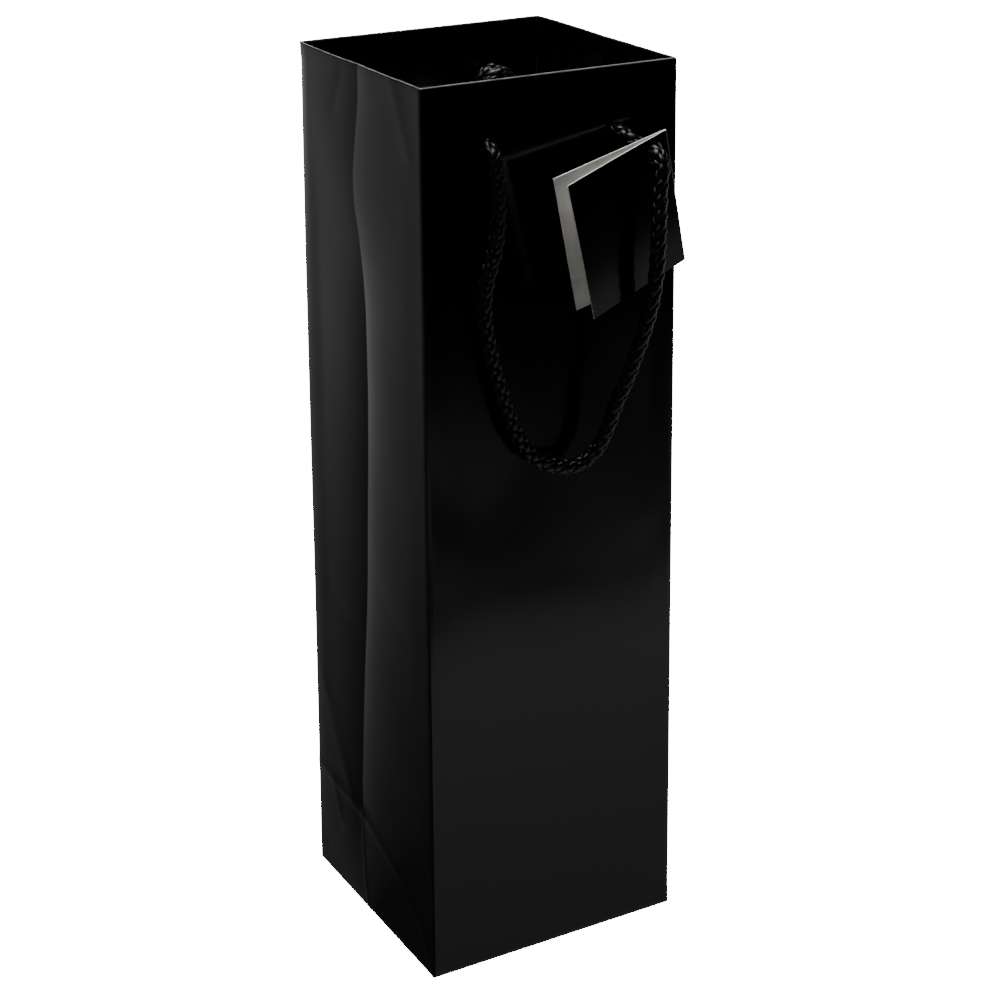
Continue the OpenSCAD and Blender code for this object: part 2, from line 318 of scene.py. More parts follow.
REAR_HANG = [
    [-26, 4.5, 3.4], [-26.1, 4.5, 9], [-26.6, 4.7, 16], [-27.4, 4.9, 25], [-28.4, 5, 35],
    [-29, 5, 46], [-29, 5, 57], [-28.2, 5, 68], [-26.6, 5, 79], [-24, 5, 90], [-20.2, 5, 100],
    [-15, 5, 109], [-8.5, 5, 116], [-1, 5, 119], [7, 5, 118], [14, 5, 113], [19.4, 5, 105],
    [23, 5, 95], [25.4, 5, 84], [27, 5, 72], [27.8, 5, 60], [28, 5, 48], [27.6, 5, 36],
    [27, 4.9, 25], [26.4, 4.7, 15], [26.1, 4.5, 8.5], [26, 4.5, 3.4],
]


def through_hole(x, turn):
    """Route points from the knot inside, straight through a hole, to where the rope starts to turn."""
    return [[x, -11, 0], [x, -6, 0], [x, -1, 0], [x, turn - 2.2, 0.6]]


TURNS_DOWN = 4.5         # distance out from the panel at which the rope turns down
left_end, right_end = through_hole(-26, TURNS_DOWN), through_hole(26, TURNS_DOWN)[::-1]
front_route = left_end + FRONT_HANG + FRONT_TO_TAG + right_end[1:]
rear_route = left_end + REAR_HANG + right_end
print("route points: front", len(front_route), "rear", len(rear_route))


def placed(route, side):
    """Route points in the bag's frame, for the front (-1) or the rear (1), settled with the bag."""
    x, out, below = np.array(route, float).T
    return settle(np.stack([x, side * (BAG_D / 2 + out), HOLE_Z - below], 1))


FINE_STEP = 0.1


def smooth_path(points, step):
    """A smooth curve through the points, cut into equal steps. Between two points it is the cubic blend of
    their places and their slopes, where a slope is the change of place along the chord."""
    chord = np.concatenate([[0], np.cumsum(np.linalg.norm(np.diff(points, axis=0), axis=1))])
    slope = np.gradient(points, chord, axis=0)
    fine = np.linspace(0, chord[-1], int(chord[-1] / FINE_STEP))
    cell = np.clip(np.searchsorted(chord, fine, side="right") - 1, 0, len(points) - 2)
    width = np.diff(chord)[cell][:, None]
    t = (fine - chord[cell])[:, None] / width
    curve = (points[cell] * (2 * t**3 - 3 * t**2 + 1) + points[cell + 1] * (3 * t**2 - 2 * t**3)
             + slope[cell] * width * (t**3 - 2 * t**2 + t) + slope[cell + 1] * width * (t**3 - t**2))
    length = np.concatenate([[0], np.cumsum(np.linalg.norm(np.diff(curve, axis=0), axis=1))])
    even = np.linspace(0, length[-1], int(round(length[-1] / step)) + 1)
    return np.stack([np.interp(even, length, curve[:, k]) for k in range(3)], 1), length[-1]


# %% [markdown]
# ## The braid
#
# The rope is a round braid of eight polypropylene strands, four turning each way. A bump map on a plain
# tube would give the pattern, but not the scalloped outline or the small glints that each strand throws
# where it comes over its neighbour. So each strand is a flat ribbon of fibre carried round the rope: its
# angle grows evenly along the rope, and it rises and dips as it passes over and under the strands that
# turn the other way. The two sets rise and dip in opposite time, which is what a plain braid does.

# %% Braid
BRAID_PITCH = 21.0       # length of one full turn of a strand
STRAND_RING = 1.98       # distance of a strand's middle from the rope's middle
STRAND_RISE = 0.40       # how far it rises and dips
STRAND_HALF_WIDTH = 1.22
STRAND_HALF_THICK = 0.64
STRAND_SIDES = 10
STRANDS_EACH_WAY = 4
CLOSING_RUN = 3.0        # length over which the strands close up at a sealed end


def axes_along(path, inward):
    """Tangent, side and up at each point of a path: the side is the given inward vector with its part
    along the tangent taken away."""
    tangent = np.gradient(path, axis=0)
    tangent /= np.linalg.norm(tangent, axis=1, keepdims=True)
    side = inward - np.sum(inward * tangent, 1, keepdims=True) * tangent
    side /= np.linalg.norm(side, axis=1, keepdims=True)
    return tangent, side, np.cross(tangent, side)


def braided_rope(name, path, inward, step, ends=1.0):
    """Eight strands round a path. A strand's middle is at the ring radius plus the rise times the cosine
    of four times its angle; its outline is an ellipse, wide across the strand and thin outwards. Each
    end is closed by a ladder of faces across it, and near the ends the ring of strands closes to the
    given share of its size."""
    tangent, side, up = axes_along(path, inward)
    along = np.arange(len(path)) * step
    turn = 2 * math.pi * along / BRAID_PITCH
    total = along[-1]
    from_end = np.minimum(along, total - along)
    closing = ends + (1 - ends) * np.clip(from_end / CLOSING_RUN, 0, 1) ** 0.5
    points, quads, uvs = [], [], []
    around = np.linspace(0, 2 * math.pi, STRAND_SIDES, endpoint=False)
    rung = np.arange(STRAND_SIDES // 2 - 1)
    ladder = np.stack([rung, rung + 1, STRAND_SIDES - 2 - rung, STRAND_SIDES - 1 - rung], 1)
    for way in (1, -1):
        ring = (STRAND_RING + way * STRAND_RISE * np.cos(STRANDS_EACH_WAY * turn)) * closing
        for start in np.arange(STRANDS_EACH_WAY) * 2 * math.pi / STRANDS_EACH_WAY:
            angle = way * turn + start
            out = np.cos(angle)[:, None] * side + np.sin(angle)[:, None] * up
            middle = path + ring[:, None] * out
            strand_way = np.gradient(middle, axis=0)
            strand_way /= np.linalg.norm(strand_way, axis=1, keepdims=True)
            across = np.cross(out, strand_way)
            across /= np.linalg.norm(across, axis=1, keepdims=True)
            shape = (middle[:, None, :]
                     + STRAND_HALF_WIDTH * np.cos(around)[None, :, None] * across[:, None, :]
                     + STRAND_HALF_THICK * np.sin(around)[None, :, None] * out[:, None, :])
            first = len(points) * len(path) * STRAND_SIDES
            quads.append(grid_quads(len(path), STRAND_SIDES, True) + first)
            quads.append(ladder[:, ::-1] + first)
            quads.append(ladder + first + (len(path) - 1) * STRAND_SIDES)
            points.append(shape.reshape(-1, 3))
            uvs.append(np.stack(np.broadcast_arrays(around[None, :] / (2 * math.pi),
                                                    along[:, None] / 10), -1).reshape(-1, 2))
    piece = make_mesh(name, np.concatenate(points), np.concatenate(quads), uv=np.concatenate(uvs))
    print(f"{name}: {total:.0f} mm of braid, {len(piece.data.polygons)} faces")
    return piece


# %% Ropes
ROPE_STEP = 0.8
ropes = {}
for name, route, side in (("front_braided_rope", front_route, -1), ("rear_braided_rope", rear_route, 1)):
    path, length = smooth_path(placed(route, side), ROPE_STEP)
    loop_middle = np.array([2.0, side * (BAG_D / 2 + 5), HOLE_Z - 55])
    ropes[side] = braided_rope(name, path, loop_middle - path, ROPE_STEP)
    print(f"{name}: centreline {length:.0f} mm")

# %% [markdown]
# A loop swings about the line between the two places where the rope turns down. The rope is one mesh.
# Here the direction downwards and square to that line is worked out, the rope's transform is baked into
# its mesh, and the imported ropes are hidden.

# %% Ropes baked in place
def blend_below_axis(piece, joint):
    """Works out the direction downwards and square to the joint's axis, and bakes the piece's transform."""
    axis, pivot = np.array(joint["axis"]), np.array(joint["pos_m"])
    down = np.array([0.0, 0.0, -1.0])
    down -= (down @ axis) * axis
    down /= np.linalg.norm(down)
    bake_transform(piece)


blend_below_axis(ropes[-1], JOINTS["front_handle_lift"])
blend_below_axis(ropes[1], JOINTS["rear_handle_lift"])
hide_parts("front_rope", "front_rope_at_tag")
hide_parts("rear_rope")

# %% [markdown]
# ## Stopper knots
#
# Inside the bag each rope end is tied so that it can't pull out. The end is wound twice round the rope
# and its tail is left hanging. A lump with a bump map would do from far away, but one knot shows over the
# rim. So each is the same braid carried along a short helix round the line of the hole, tight against the
# turned-in paper, and running off into the tail.

# %% Knots
KNOT_RING = 5.1          # distance of the wound rope's middle from the hole's line
KNOT_TIGHTENS = 0.4      # by how much each turn is tighter than the one before
KNOT_TURNS = 2.15
KNOT_FLAT_TURN = 0.55    # part of the first turn that lies flat against the paper
KNOT_PITCH = 5.2
KNOT_DEPTH = HEM_DEPTH + 2.9
TAIL = 13.0
TAIL_DROOP = 5.0
TAIL_BACK = 1.5


def knot_path(x, side, lean):
    """A helix about the hole's line: its angle grows evenly, and once its first part has been laid flat
    its depth grows by one rope for each turn. Its tail goes on along the last direction and droops."""
    angle = np.linspace(0, 2 * math.pi * KNOT_TURNS, 160)
    turns = angle / (2 * math.pi)
    depth = KNOT_DEPTH + KNOT_PITCH * np.clip(turns - KNOT_FLAT_TURN, 0, KNOT_TURNS)
    ring = KNOT_RING - KNOT_TIGHTENS * turns
    coil = np.stack([x + ring * np.cos(angle + lean), side * (BAG_D / 2 - depth),
                     HOLE_Z + ring * np.sin(angle + lean)], 1)
    way = coil[-1] - coil[-2]
    way /= np.linalg.norm(way)
    run = np.linspace(0.1, 1, 40)[:, None]
    tail = coil[-1] + way * TAIL * run + np.array([0, -side * TAIL_BACK, -TAIL_DROOP]) * run**2
    return smooth_path(np.concatenate([coil, tail])[::4], ROPE_STEP)[0]


# Name, side of the bag (-1 left, 1 right), front or rear (-1, 1), where the winding starts, shift in x
KNOTS = [
    ("front_left_knot", -1, -1, 1.9, 0.0),
    ("front_right_knot", 1, -1, 2.3, 0.0),
    ("rear_left_knot", -1, 1, 2.1, 0.0),
    ("rear_right_knot", 1, 1, 2.4, 2.5),
]
KNOT_END = 0.75          # share to which the braid closes at a cut end
knots = []
for name, hand, side, lean, shift in KNOTS:
    path = knot_path(-HOLE_X, side, lean) * [-hand, 1, 1]
    path[:, 0] += shift
    path = settle(path)
    inward = np.tile([0.0, side * 1.0, 0.0], (len(path), 1))
    knot = braided_rope(name + "_braid", path, inward, ROPE_STEP, ends=KNOT_END)
    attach(knot, "bag")
    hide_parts(name)
    knots.append(knot)

# %% [markdown]
# ## The folded sheet
#
# The bag's walls and its turned-in top are one sheet. Five flat plates would have edges as sharp as
# glass and no fold at the top, so the sheet is made as one surface of two parameters: how far round the
# bag, and how far up the outside, over the top fold and down the inside. Columns of the grid follow the
# valleys, and columns and rows close up round the punched holes, where a small square of the grid is
# opened into a circle.

# %% The sheet's columns
CORNER_R = 1.0
TOP_FOLD_R = HEM_DEPTH / 2
BASE_FOLD_R = 0.7
HOLE_PATCH = 6.0         # half size of the square patch that a hole disturbs
HOLE_SQUARE = 3.0        # half size of the square that becomes the hole
PAPER = 0.4
TINY = 1e-6


def stops(*parts):
    """Positions along a face: each part is (from, to, number of steps)."""
    return np.unique(np.round(np.concatenate([np.linspace(a, b, n + 1) for a, b, n in parts]), 4))


def mirrored(values):
    """The positions and their mirror images."""
    return np.unique(np.concatenate([-values, values]))


wide = mirrored(stops((0, 20, 8), (20, 32, 16), (32, 50, 8), (50, BAG_W / 2 - CORNER_R, 1)))
deep = mirrored(stops((0, 2, 4), (2, 8, 6), (8, 42, 17), (42, BAG_D / 2 - CORNER_R, 5)))
arc = np.linspace(0, math.pi / 2, 6)[1:-1]


def face_columns(along, heading, half_length, half_other):
    """One wall and the corner after it: (x, y) of the columns, for a wall that runs in a direction."""
    way = np.array([math.cos(heading), math.sin(heading)])
    out = np.array([way[1], -way[0]])
    wall = along[:, None] * way + half_other * out
    centre = (half_length - CORNER_R) * way + (half_other - CORNER_R) * out
    corner = centre + CORNER_R * (np.sin(arc)[:, None] * way + np.cos(arc)[:, None] * out)
    return np.concatenate([wall, corner])


columns = np.concatenate([
    face_columns(wide, 0, BAG_W / 2, BAG_D / 2),
    face_columns(deep, math.pi / 2, BAG_D / 2, BAG_W / 2),
    face_columns(wide, math.pi, BAG_W / 2, BAG_D / 2),
    face_columns(deep, -math.pi / 2, BAG_D / 2, BAG_W / 2),
])
print("columns round the bag:", len(columns))

# %% The sheet's rows
hem_z0, fold_z = BAG_H - HEM_H, BAG_H - TOP_FOLD_R
below_hole, above_hole = HOLE_Z - HOLE_PATCH, HOLE_Z + HOLE_PATCH
outside_z = stops((BASE_FOLD_R, 60, 38), (60, below_hole, 70), (below_hole, above_hole, 16),
                  (above_hole, fold_z, 7))
inside_z = stops((hem_z0, below_hole, 6), (below_hole, above_hole, 16), (above_hole, fold_z, 6))[::-1]
base_turn = np.linspace(0, math.pi / 2, 4)[:-1]
top_turn = np.linspace(0, math.pi, 9)[1:-1]
row_z = np.concatenate([BASE_FOLD_R * (1 - np.cos(base_turn)), outside_z,
                        fold_z + TOP_FOLD_R * np.sin(top_turn), inside_z])
row_in = np.concatenate([BASE_FOLD_R * (1 - np.sin(base_turn)), np.zeros(len(outside_z)),
                         TOP_FOLD_R * (1 - np.cos(top_turn)), np.full(len(inside_z), HEM_DEPTH)])
print("rows up, over and down:", len(row_z))

# %% [markdown]
# A hole could be cut with a Boolean, but on such thin paper that leaves a ragged rim. Here the grid itself
# is opened: the points of a small square move out to a circle, and the faces inside it are left out.

# %% Punched holes
def punch(across, up, where, radius):
    """Opens a hole in a grid, given the distances from its centre. With c the larger of a point's two
    distances, the point keeps its direction, and its distance goes from the hole's radius at the inner
    square to its own distance at the patch's edge. Gives the moved distances and the points inside."""
    c = np.maximum(np.abs(across), np.abs(up))
    near = where & (c < HOLE_PATCH)
    t = np.clip((c - HOLE_SQUARE) / (HOLE_PATCH - HOLE_SQUARE), 0, 1)
    own = np.maximum(np.hypot(across, up), TINY)
    target = (1 - t) * radius + t * own * HOLE_PATCH / np.maximum(c, TINY)
    share = np.where(near, target / own, 1)
    return across * share, up * share, near & (c < HOLE_SQUARE - 0.1)


def punch_pair(across, up, where):
    """Punches the two rope holes of a face and gives the moved grid and the points inside the holes."""
    inside = np.zeros(across.shape, bool)
    for hole_x in (-HOLE_X, HOLE_X):
        from_hole, rise, holed = punch(across - hole_x, up - HOLE_Z, where, HOLE_R)
        across, up = hole_x + from_hole, HOLE_Z + rise
        inside |= holed
    return across, up, inside


def kept_faces(shape, closed, inside):
    """The grid's faces, without those that touch a point inside a hole."""
    quads = grid_quads(*shape, closed)
    return quads[~inside.ravel()[quads].any(1)]


def compact(points, quads, *others):
    """Drops the points that no face uses."""
    used = np.zeros(len(points), bool)
    used[quads.ravel()] = True
    number = np.cumsum(used) - 1
    return (points[used], number[quads], *(values[used] for values in others))


def thicken(piece, thickness, edge_slot):
    """Solidifies a surface inwards, in mm. Its back and its cut edge take the material after the first
    one by edge_slot."""
    solid = piece.modifiers.new("thickness", "SOLIDIFY")
    solid.thickness = thickness * MM
    solid.offset = -1
    solid.material_offset = edge_slot
    solid.material_offset_rim = edge_slot
    return solid


# %% [markdown]
# The grid is filled, the valleys are followed, the holes are opened, and then the whole sheet settles.
# The UV map holds real distances round and up the bag.

# %% The sheet's points
HEM_SIDE_SHARE = 0.6     # with no card in it, the fold at a side is thinner
shape = (len(row_z), len(columns))
x = np.broadcast_to(columns[:, 0], shape).copy()
y = np.broadcast_to(columns[:, 1], shape).copy()
z = np.broadcast_to(row_z[:, None], shape).copy()
on_side = np.abs(x) > BAG_W / 2 - 0.01
y += np.where(on_side, np.interp(z, VALLEY_Z, VALLEY_Y) * (1 - (y / (BAG_D / 2)) ** 2), 0)
x, z, in_hole = punch_pair(x, z, np.abs(y) > BAG_D / 2 - 0.01)
x *= 1 - HEM_SIDE_SHARE * row_in[:, None] / (BAG_W / 2)
y *= 1 - row_in[:, None] / (BAG_D / 2)
round_mm = np.concatenate([[0], np.cumsum(np.hypot(*np.diff(columns, axis=0).T))])
sheet_points = settle(np.stack([x.ravel(), y.ravel(), z.ravel()], 1))
sheet_uv = np.stack([np.broadcast_to(round_mm, shape).ravel(), z.ravel()], 1) * MM
print("sheet points:", len(sheet_points), "of which inside holes:", int(in_hole.sum()))

# %% [markdown]
# The folds are painted lighter. Along the top fold this is most, and it is both wear of the film and a
# painted highlight; along the base it is less and along the upright edges least, and there it is wear. It
# is kept on the mesh as an attribute, which the material reads. Solidify then gives the sheet its thickness
# on its inner side, with the raw white side as a second material.

# %% The sheet
EDGE_WEAR, EDGE_WORN = 0.12, 0.7       # how much, and how far from the fold in mm
BASE_WEAR, BASE_WORN = 0.2, 0.8
# the light line along the top fold is wear and a painted highlight; this is its width in mm
TOP_WEAR_AND_HIGHLIGHT = 0.22
from_corner = np.maximum(BAG_W / 2 - np.abs(x), BAG_D / 2 - np.abs(y))
fold_wear_and_highlight = np.maximum(EDGE_WEAR * np.exp(-from_corner / EDGE_WORN), BASE_WEAR * np.exp(-z / BASE_WORN))
# the top fold is painted at full lightness, as wear and as a painted highlight
fold_wear_and_highlight = np.maximum(fold_wear_and_highlight, np.exp(-((BAG_H - z) / TOP_WEAR_AND_HIGHLIGHT) ** 2))
points, quads, sheet_uv, fold_wear_and_highlight = compact(sheet_points, kept_faces(shape, True, in_hole), sheet_uv,
                                             fold_wear_and_highlight.ravel())
bag_sheet = make_mesh("bag_sheet", points, quads, uv=sheet_uv, attributes={"fold_wear_and_highlight": fold_wear_and_highlight})
thicken(bag_sheet, PAPER, 1).use_even_offset = True
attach(bag_sheet, "bag")
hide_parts("front_panel", "rear_panel", "left_gusset_front", "left_gusset_rear",
            "left_gusset_foot", "right_gusset_front", "right_gusset_rear", "right_gusset_foot",
            "front_hem", "rear_hem", "left_hem", "right_hem")
print("bag sheet:", len(bag_sheet.data.polygons), "faces before thickness")

# %% [markdown]
# ## Boards and flaps
#
# Two boards stiffen the turned-in top, and one lies on the bottom. The bottom itself is four flaps,
# folded one over the other, and a glue flap runs up inside the rear. They are flat, but they have to
# follow the settled walls, so each is a patch stretched between four corners that settles with them.

# %% Flat pieces
def patch(corners, across, up):
    """The bilinear blend of four corners (lower left, lower right, upper right, upper left), at shares
    across and up from 0 to 1. Returns an array of points, row by row."""
    low_left, low_right, high_right, high_left = (np.array(c, float) for c in corners)
    u, v = across[None, :, None], up[:, None, None]
    return ((1 - u) * (1 - v) * low_left + u * (1 - v) * low_right + u * v * high_right
            + (1 - u) * v * high_left).reshape(-1, 3)


def level(x0, x1, y0, y1, z):
    """Corners of a level rectangle. It faces up when it runs to the right and to the rear."""
    return [(x0, y0, z), (x1, y0, z), (x1, y1, z), (x0, y1, z)]


PATCH_POINTS = 33


def flat_piece(name, node, corners, thickness):
    """A thin patch that settles with the bag. Its thickness goes to its back."""
    steps = np.linspace(0, 1, PATCH_POINTS)
    piece = make_mesh(name, settle(patch(corners, steps, steps)),
                      grid_quads(PATCH_POINTS, PATCH_POINTS, False))
    thicken(piece, thickness, 1)
    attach(piece, "bag")
    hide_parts(node)
    return piece


# %% Flaps of the bottom
IN_W, IN_D = BAG_W / 2 - PAPER, BAG_D / 2 - PAPER
front_end = corner_mm("bottom_front_flap", 1)[1]
rear_z, rear_end = corner_mm("bottom_rear_flap", 0)[2], corner_mm("bottom_rear_flap", 0)[1]
flaps = [
    flat_piece("front_bottom_flap", "bottom_front_flap", level(-IN_W, IN_W, front_end, -IN_D, 0),
               PAPER),
    flat_piece("rear_bottom_flap", "bottom_rear_flap", level(-IN_W, IN_W, IN_D, rear_end, rear_z),
               PAPER),
]
side_z = corner_mm("bottom_left_flap", 0)[2]
reach = corner_mm("bottom_left_flap", 1)[0] + IN_W
for name, node, side in (("left_bottom_flap", "bottom_left_flap", -1),
                         ("right_bottom_flap", "bottom_right_flap", 1)):
    outer, tip = side * IN_W, side * (IN_W - reach)
    corners = [(outer, IN_D, side_z), (tip, IN_D - reach, side_z), (tip, reach - IN_D, side_z),
               (outer, -IN_D, side_z)]
    flaps.append(flat_piece(name, node, corners if side < 0 else corners[::-1], PAPER))
print("side flaps reach", round(reach, 1), "mm in")

# %% Glue flap and base board
(x0, seam_y, z0), (x1, _, z1) = corner_mm("seam_flap", 0), corner_mm("seam_flap", 1)
upright = [(x0, seam_y, z0), (x1, seam_y, z0), (x1, seam_y, z1), (x0, seam_y, z1)]
glue_flap = flat_piece("glue_flap", "seam_flap", upright, PAPER)
(x0, y0, z0), (x1, y1, z1) = corner_mm("base_card", 0), corner_mm("base_card", 1)
base_board = flat_piece("base_board", "base_card", level(x0, x1, y0, y1, z1), z1 - z0)
print(f"glue flap {upright[1][0] - upright[0][0]:.0f} mm wide, base board {x1 - x0:.0f} x {y1 - y0:.0f} mm")

# %% Boards in the top
BOARD_T = 0.55           # a little under the gap between the walls, so that it doesn't show through
BOARD_PLAY = 0.03
top_boards = []
for name, node, side in (("front_top_board", "front_top_card", -1), ("rear_top_board", "rear_top_card", 1)):
    low, high = corner_mm(node, 0), corner_mm(node, 1)
    along = mirrored(stops((0, 20, 6), (20, 32, 16), (32, high[0], 6)))
    up = stops((low[2], below_hole, 3), (below_hole, above_hole, 16), (above_hole, high[2], 4))
    a, b, holed = punch_pair(*np.meshgrid(along, up), True)
    outer_y = side * (BAG_D / 2 - PAPER - BOARD_PLAY)
    spots = settle(np.stack([-side * a.ravel(), np.full(a.size, outer_y), b.ravel()], 1))
    board = make_mesh(name, *compact(spots, kept_faces(a.shape, False, holed)))
    thicken(board, BOARD_T, 0)
    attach(board, "bag")
    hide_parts(node)
    top_boards.append(board)
    print(f"{name}: {len(board.data.polygons)} faces")

# %% [markdown]
# ## Gift tag
#
# The tag is a small card, black and glossy outside and white inside, folded once and punched through
# both leaves, and it hangs open on the right strand of the front rope. It is one sheet: a path across it
# runs along the rear leaf, round the fold, and along the front leaf, which springs open a little more at
# the bottom than at the top. The front leaf turns about the fold.

# %% The tag's place
TAG = 50.0
TAG_IN, TAG_DROP = 7.0, 6.0
TAG_HOLE_R = 3.8
FOLD_OUT = 0.55          # how far the fold's round stands out past the leaves
TAG_TILT, TAG_YAW = math.radians(12), math.radians(6)
TAG_HOLE = np.array([33.0, -62.0, 321.0])
TAG_SLIP = np.array([1.0, 0.0, -0.3])    # how far it has slipped along the rope


def tag_place(points):
    """Tag's own frame (origin at the hole) to the bag's: turned about y by minus the tilt, then about z
    by the yaw, and moved to the hole, which has settled with the bag."""
    c, s = math.cos(-TAG_TILT), math.sin(-TAG_TILT)
    tilt = np.array([[c, 0, s], [0, 1, 0], [-s, 0, c]])
    c, s = math.cos(TAG_YAW), math.sin(TAG_YAW)
    yaw = np.array([[c, -s, 0], [s, c, 0], [0, 0, 1]])
    return points @ (yaw @ tilt).T + settle(TAG_HOLE[None])[0] + TAG_SLIP


print("tag hole settles to", settle(TAG_HOLE[None])[0].round(1))

# %% [markdown]
# The sheet of the tag is a grid of columns across it and rows down it. The columns first cross the rear
# leaf, then go round the fold on a small arc, and then come back across the front leaf, which leans away
# by its opening angle, bows a little, and hangs a little lower at its free edge.

# %% The tag's shape
FOLD_COLUMNS = 9
OPENING, OPENS_MORE = 7.6, 1.8         # degrees at the top, and how many more at the bottom
LEAF_BOW, LEAF_SKEW = 0.7, 1.3
LEAF_WAVE, LEAF_WAVE_MM = 0.25, 17
REAR_LEAF_Y, FOLD_Y = 0.2, -0.35
fold_x = TAG_IN - FOLD_OUT
leaf_stops = stops((TAG_IN - TAG, -HOLE_PATCH, 14), (-HOLE_PATCH, HOLE_PATCH, 16), (HOLE_PATCH, fold_x, 1))
rows_up = stops((TAG_DROP - TAG, -HOLE_PATCH, 15), (-HOLE_PATCH, HOLE_PATCH, 16))[::-1]
rear_count = len(leaf_stops)
flat = np.concatenate([leaf_stops, np.full(FOLD_COLUMNS, 2 * TAG), leaf_stops[::-1]])
across, up, holed = punch(*np.meshgrid(flat, rows_up), True, TAG_HOLE_R)
opening = np.radians(OPENING + OPENS_MORE * (TAG_DROP - up) / TAG)
column = np.arange(len(flat))[None, :]
on_rear = column < rear_count
round_fold = np.clip((column - rear_count + 1) / (FOLD_COLUMNS + 1), 0, 1)
facing = math.pi / 2 - round_fold * (math.pi - opening)
run = np.where(column >= rear_count + FOLD_COLUMNS, fold_x - across, 0)
bow = LEAF_BOW * np.sin(np.clip(run / TAG, 0, 1) * math.pi)
tag_x = fold_x + FOLD_OUT * np.cos(facing) - run * np.cos(opening) - bow * np.sin(opening)
tag_y = FOLD_Y + FOLD_OUT * np.sin(facing) - run * np.sin(opening) + bow * np.cos(opening) / 2
tag_x, tag_y = np.where(on_rear, across, tag_x), np.where(on_rear, REAR_LEAF_Y, tag_y)
tag_y += LEAF_WAVE * np.sin(up / LEAF_WAVE_MM) * np.clip(run / 20, 0, 1)
tag_z = up - LEAF_SKEW * run / TAG
print(f"tag {TAG:.0f} x {TAG:.0f} mm, open by {OPENING} to {OPENING + OPENS_MORE} degrees")

# %% The tag as a mesh
tag_uv = np.stack([np.broadcast_to(column / len(flat), up.shape).ravel(), up.ravel() / TAG], 1)
tag_points = tag_place(np.stack([tag_x.ravel(), tag_y.ravel(), tag_z.ravel()], 1))
points, quads, tag_uv = compact(tag_points, kept_faces(up.shape, False, holed), tag_uv)
gift_tag = make_mesh("gift_tag", points, quads, uv=tag_uv, attributes={"fold_wear_and_highlight": np.zeros(len(points))})
thicken(gift_tag, PAPER, 1)
MID_LEAF_Z = -19
start, end = tag_place(np.array([[TAG_IN, -0.22, MID_LEAF_Z], [TAG_IN, -0.50, MID_LEAF_Z]])) * MM
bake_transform(gift_tag)
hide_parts("tag_rear_leaf", "tag_front_leaf")
print("tag:", len(gift_tag.data.polygons), "faces")

# %% [markdown]
# ## Laminated paper
#
# The outside is art paper printed solid black and laminated with gloss film: it mirrors its
# surroundings at a few per cent, a little blurred, with the faint orange peel of the film, and it picks
# up specks of dust. Along the folds the film is strained, so it is duller and a little lighter there; along
# the top fold the lighter colour is also a painted highlight.

# %% Materials: paper
def new_material(name):
    """An empty node material with its Principled shader and output joined."""
    material = bpy.data.materials.new(name)
    material.use_nodes = True
    tree = material.node_tree
    tree.nodes.clear()
    shader = add_node(tree, "BsdfPrincipled")
    add_node(tree, "OutputMaterial", {"Surface": shader.outputs[0]})
    return material, tree, shader


PEEL_MM, FILM_MM, DUST_MM, WEAR_MM = 1.6, 30, 25, 5


def laminated_paper(name):
    """Gloss-laminated black paper: orange peel 1.6 mm wide, film that differs over 30 mm, and dust specks
    about 0.4 mm wide every 25 mm. The lighter colour along the folds, wear and along the top fold also a
    painted highlight, is broken up over 5 mm."""
    material, tree, shader = new_material(name)
    shader.inputs["IOR"].default_value = 1.5
    shader.inputs["Specular IOR Level"].default_value = 0.3
    spot = add_node(tree, "TexCoord")
    in_mm = add_node(tree, "VectorMath", {0: spot.outputs["Object"], "Scale": 1 / MM}, operation="SCALE")
    place = in_mm.outputs[0]
    peel = add_node(tree, "TexNoise", {"Vector": place, "Scale": 1 / PEEL_MM, "Detail": 2.0})
    slow = add_node(tree, "TexNoise", {"Vector": place, "Scale": 1 / FILM_MM, "Detail": 3.0})
    dust = add_node(tree, "TexVoronoi", {"Vector": place, "Scale": 1 / DUST_MM, "Randomness": 1.0})
    speck = add_node(tree, "MapRange", {"Value": dust.outputs["Distance"], "From Min": 0.010,
                                        "From Max": 0.018, "To Min": 1.0, "To Max": 0.0})
    wear_and_highlight = add_node(tree, "Attribute", attribute_name="fold_wear_and_highlight")
    broken = add_node(tree, "TexNoise", {"Vector": place, "Scale": 1 / WEAR_MM, "Detail": 4.0})
    amount = add_node(tree, "MapRange", {"Value": broken.outputs[0], "From Min": 0.35, "From Max": 0.65,
                                         "To Min": 0.5, "To Max": 1.0})
    worn_and_highlit = add_node(tree, "Math", {0: wear_and_highlight.outputs["Fac"], 1: amount.outputs[0]}, operation="MULTIPLY")
    # the folds are mixed towards light grey: wear of the film, and along the top fold a painted highlight
    print_wear_and_highlight = add_node(tree, "Mix", {"Factor": worn_and_highlit.outputs[0], "A": linear("#050506"),
                                   "B": linear("#8c8c8a")}, data_type="RGBA")
    dusty = add_node(tree, "Mix", {"Factor": speck.outputs[0], "A": print_wear_and_highlight.outputs["Result"],
                                   "B": linear("#3c3b39")}, data_type="RGBA")
    film = add_node(tree, "MapRange", {"Value": slow.outputs[0], "From Min": 0.3, "From Max": 0.7,
                                       "To Min": 0.11, "To Max": 0.17})
    rough = add_node(tree, "Math", {0: wear_and_highlight.outputs["Fac"], 1: 0.22, 2: film.outputs[0]},
                     operation="MULTIPLY_ADD")
    bump = add_node(tree, "Bump", {"Height": peel.outputs[0], "Strength": 0.05, "Distance": 0.00005})
    tree.links.new(dusty.outputs["Result"], shader.inputs["Base Color"])
    tree.links.new(rough.outputs[0], shader.inputs["Roughness"])
    tree.links.new(bump.outputs[0], shader.inputs["Normal"])
    return material


gloss_paper = laminated_paper("gloss laminated black paper")
print(gloss_paper.name, "has", len(gloss_paper.node_tree.nodes), "nodes")

# %% [markdown]
# The inside of the sheet, its cut edges and the inside of the tag are the bare paper: bright, matt, and
# very slightly mottled by its fibres. The boards are recycled greyboard, flecked with darker fibres.

# %% Materials: bare paper and board
FIBRE_MM = 0.4


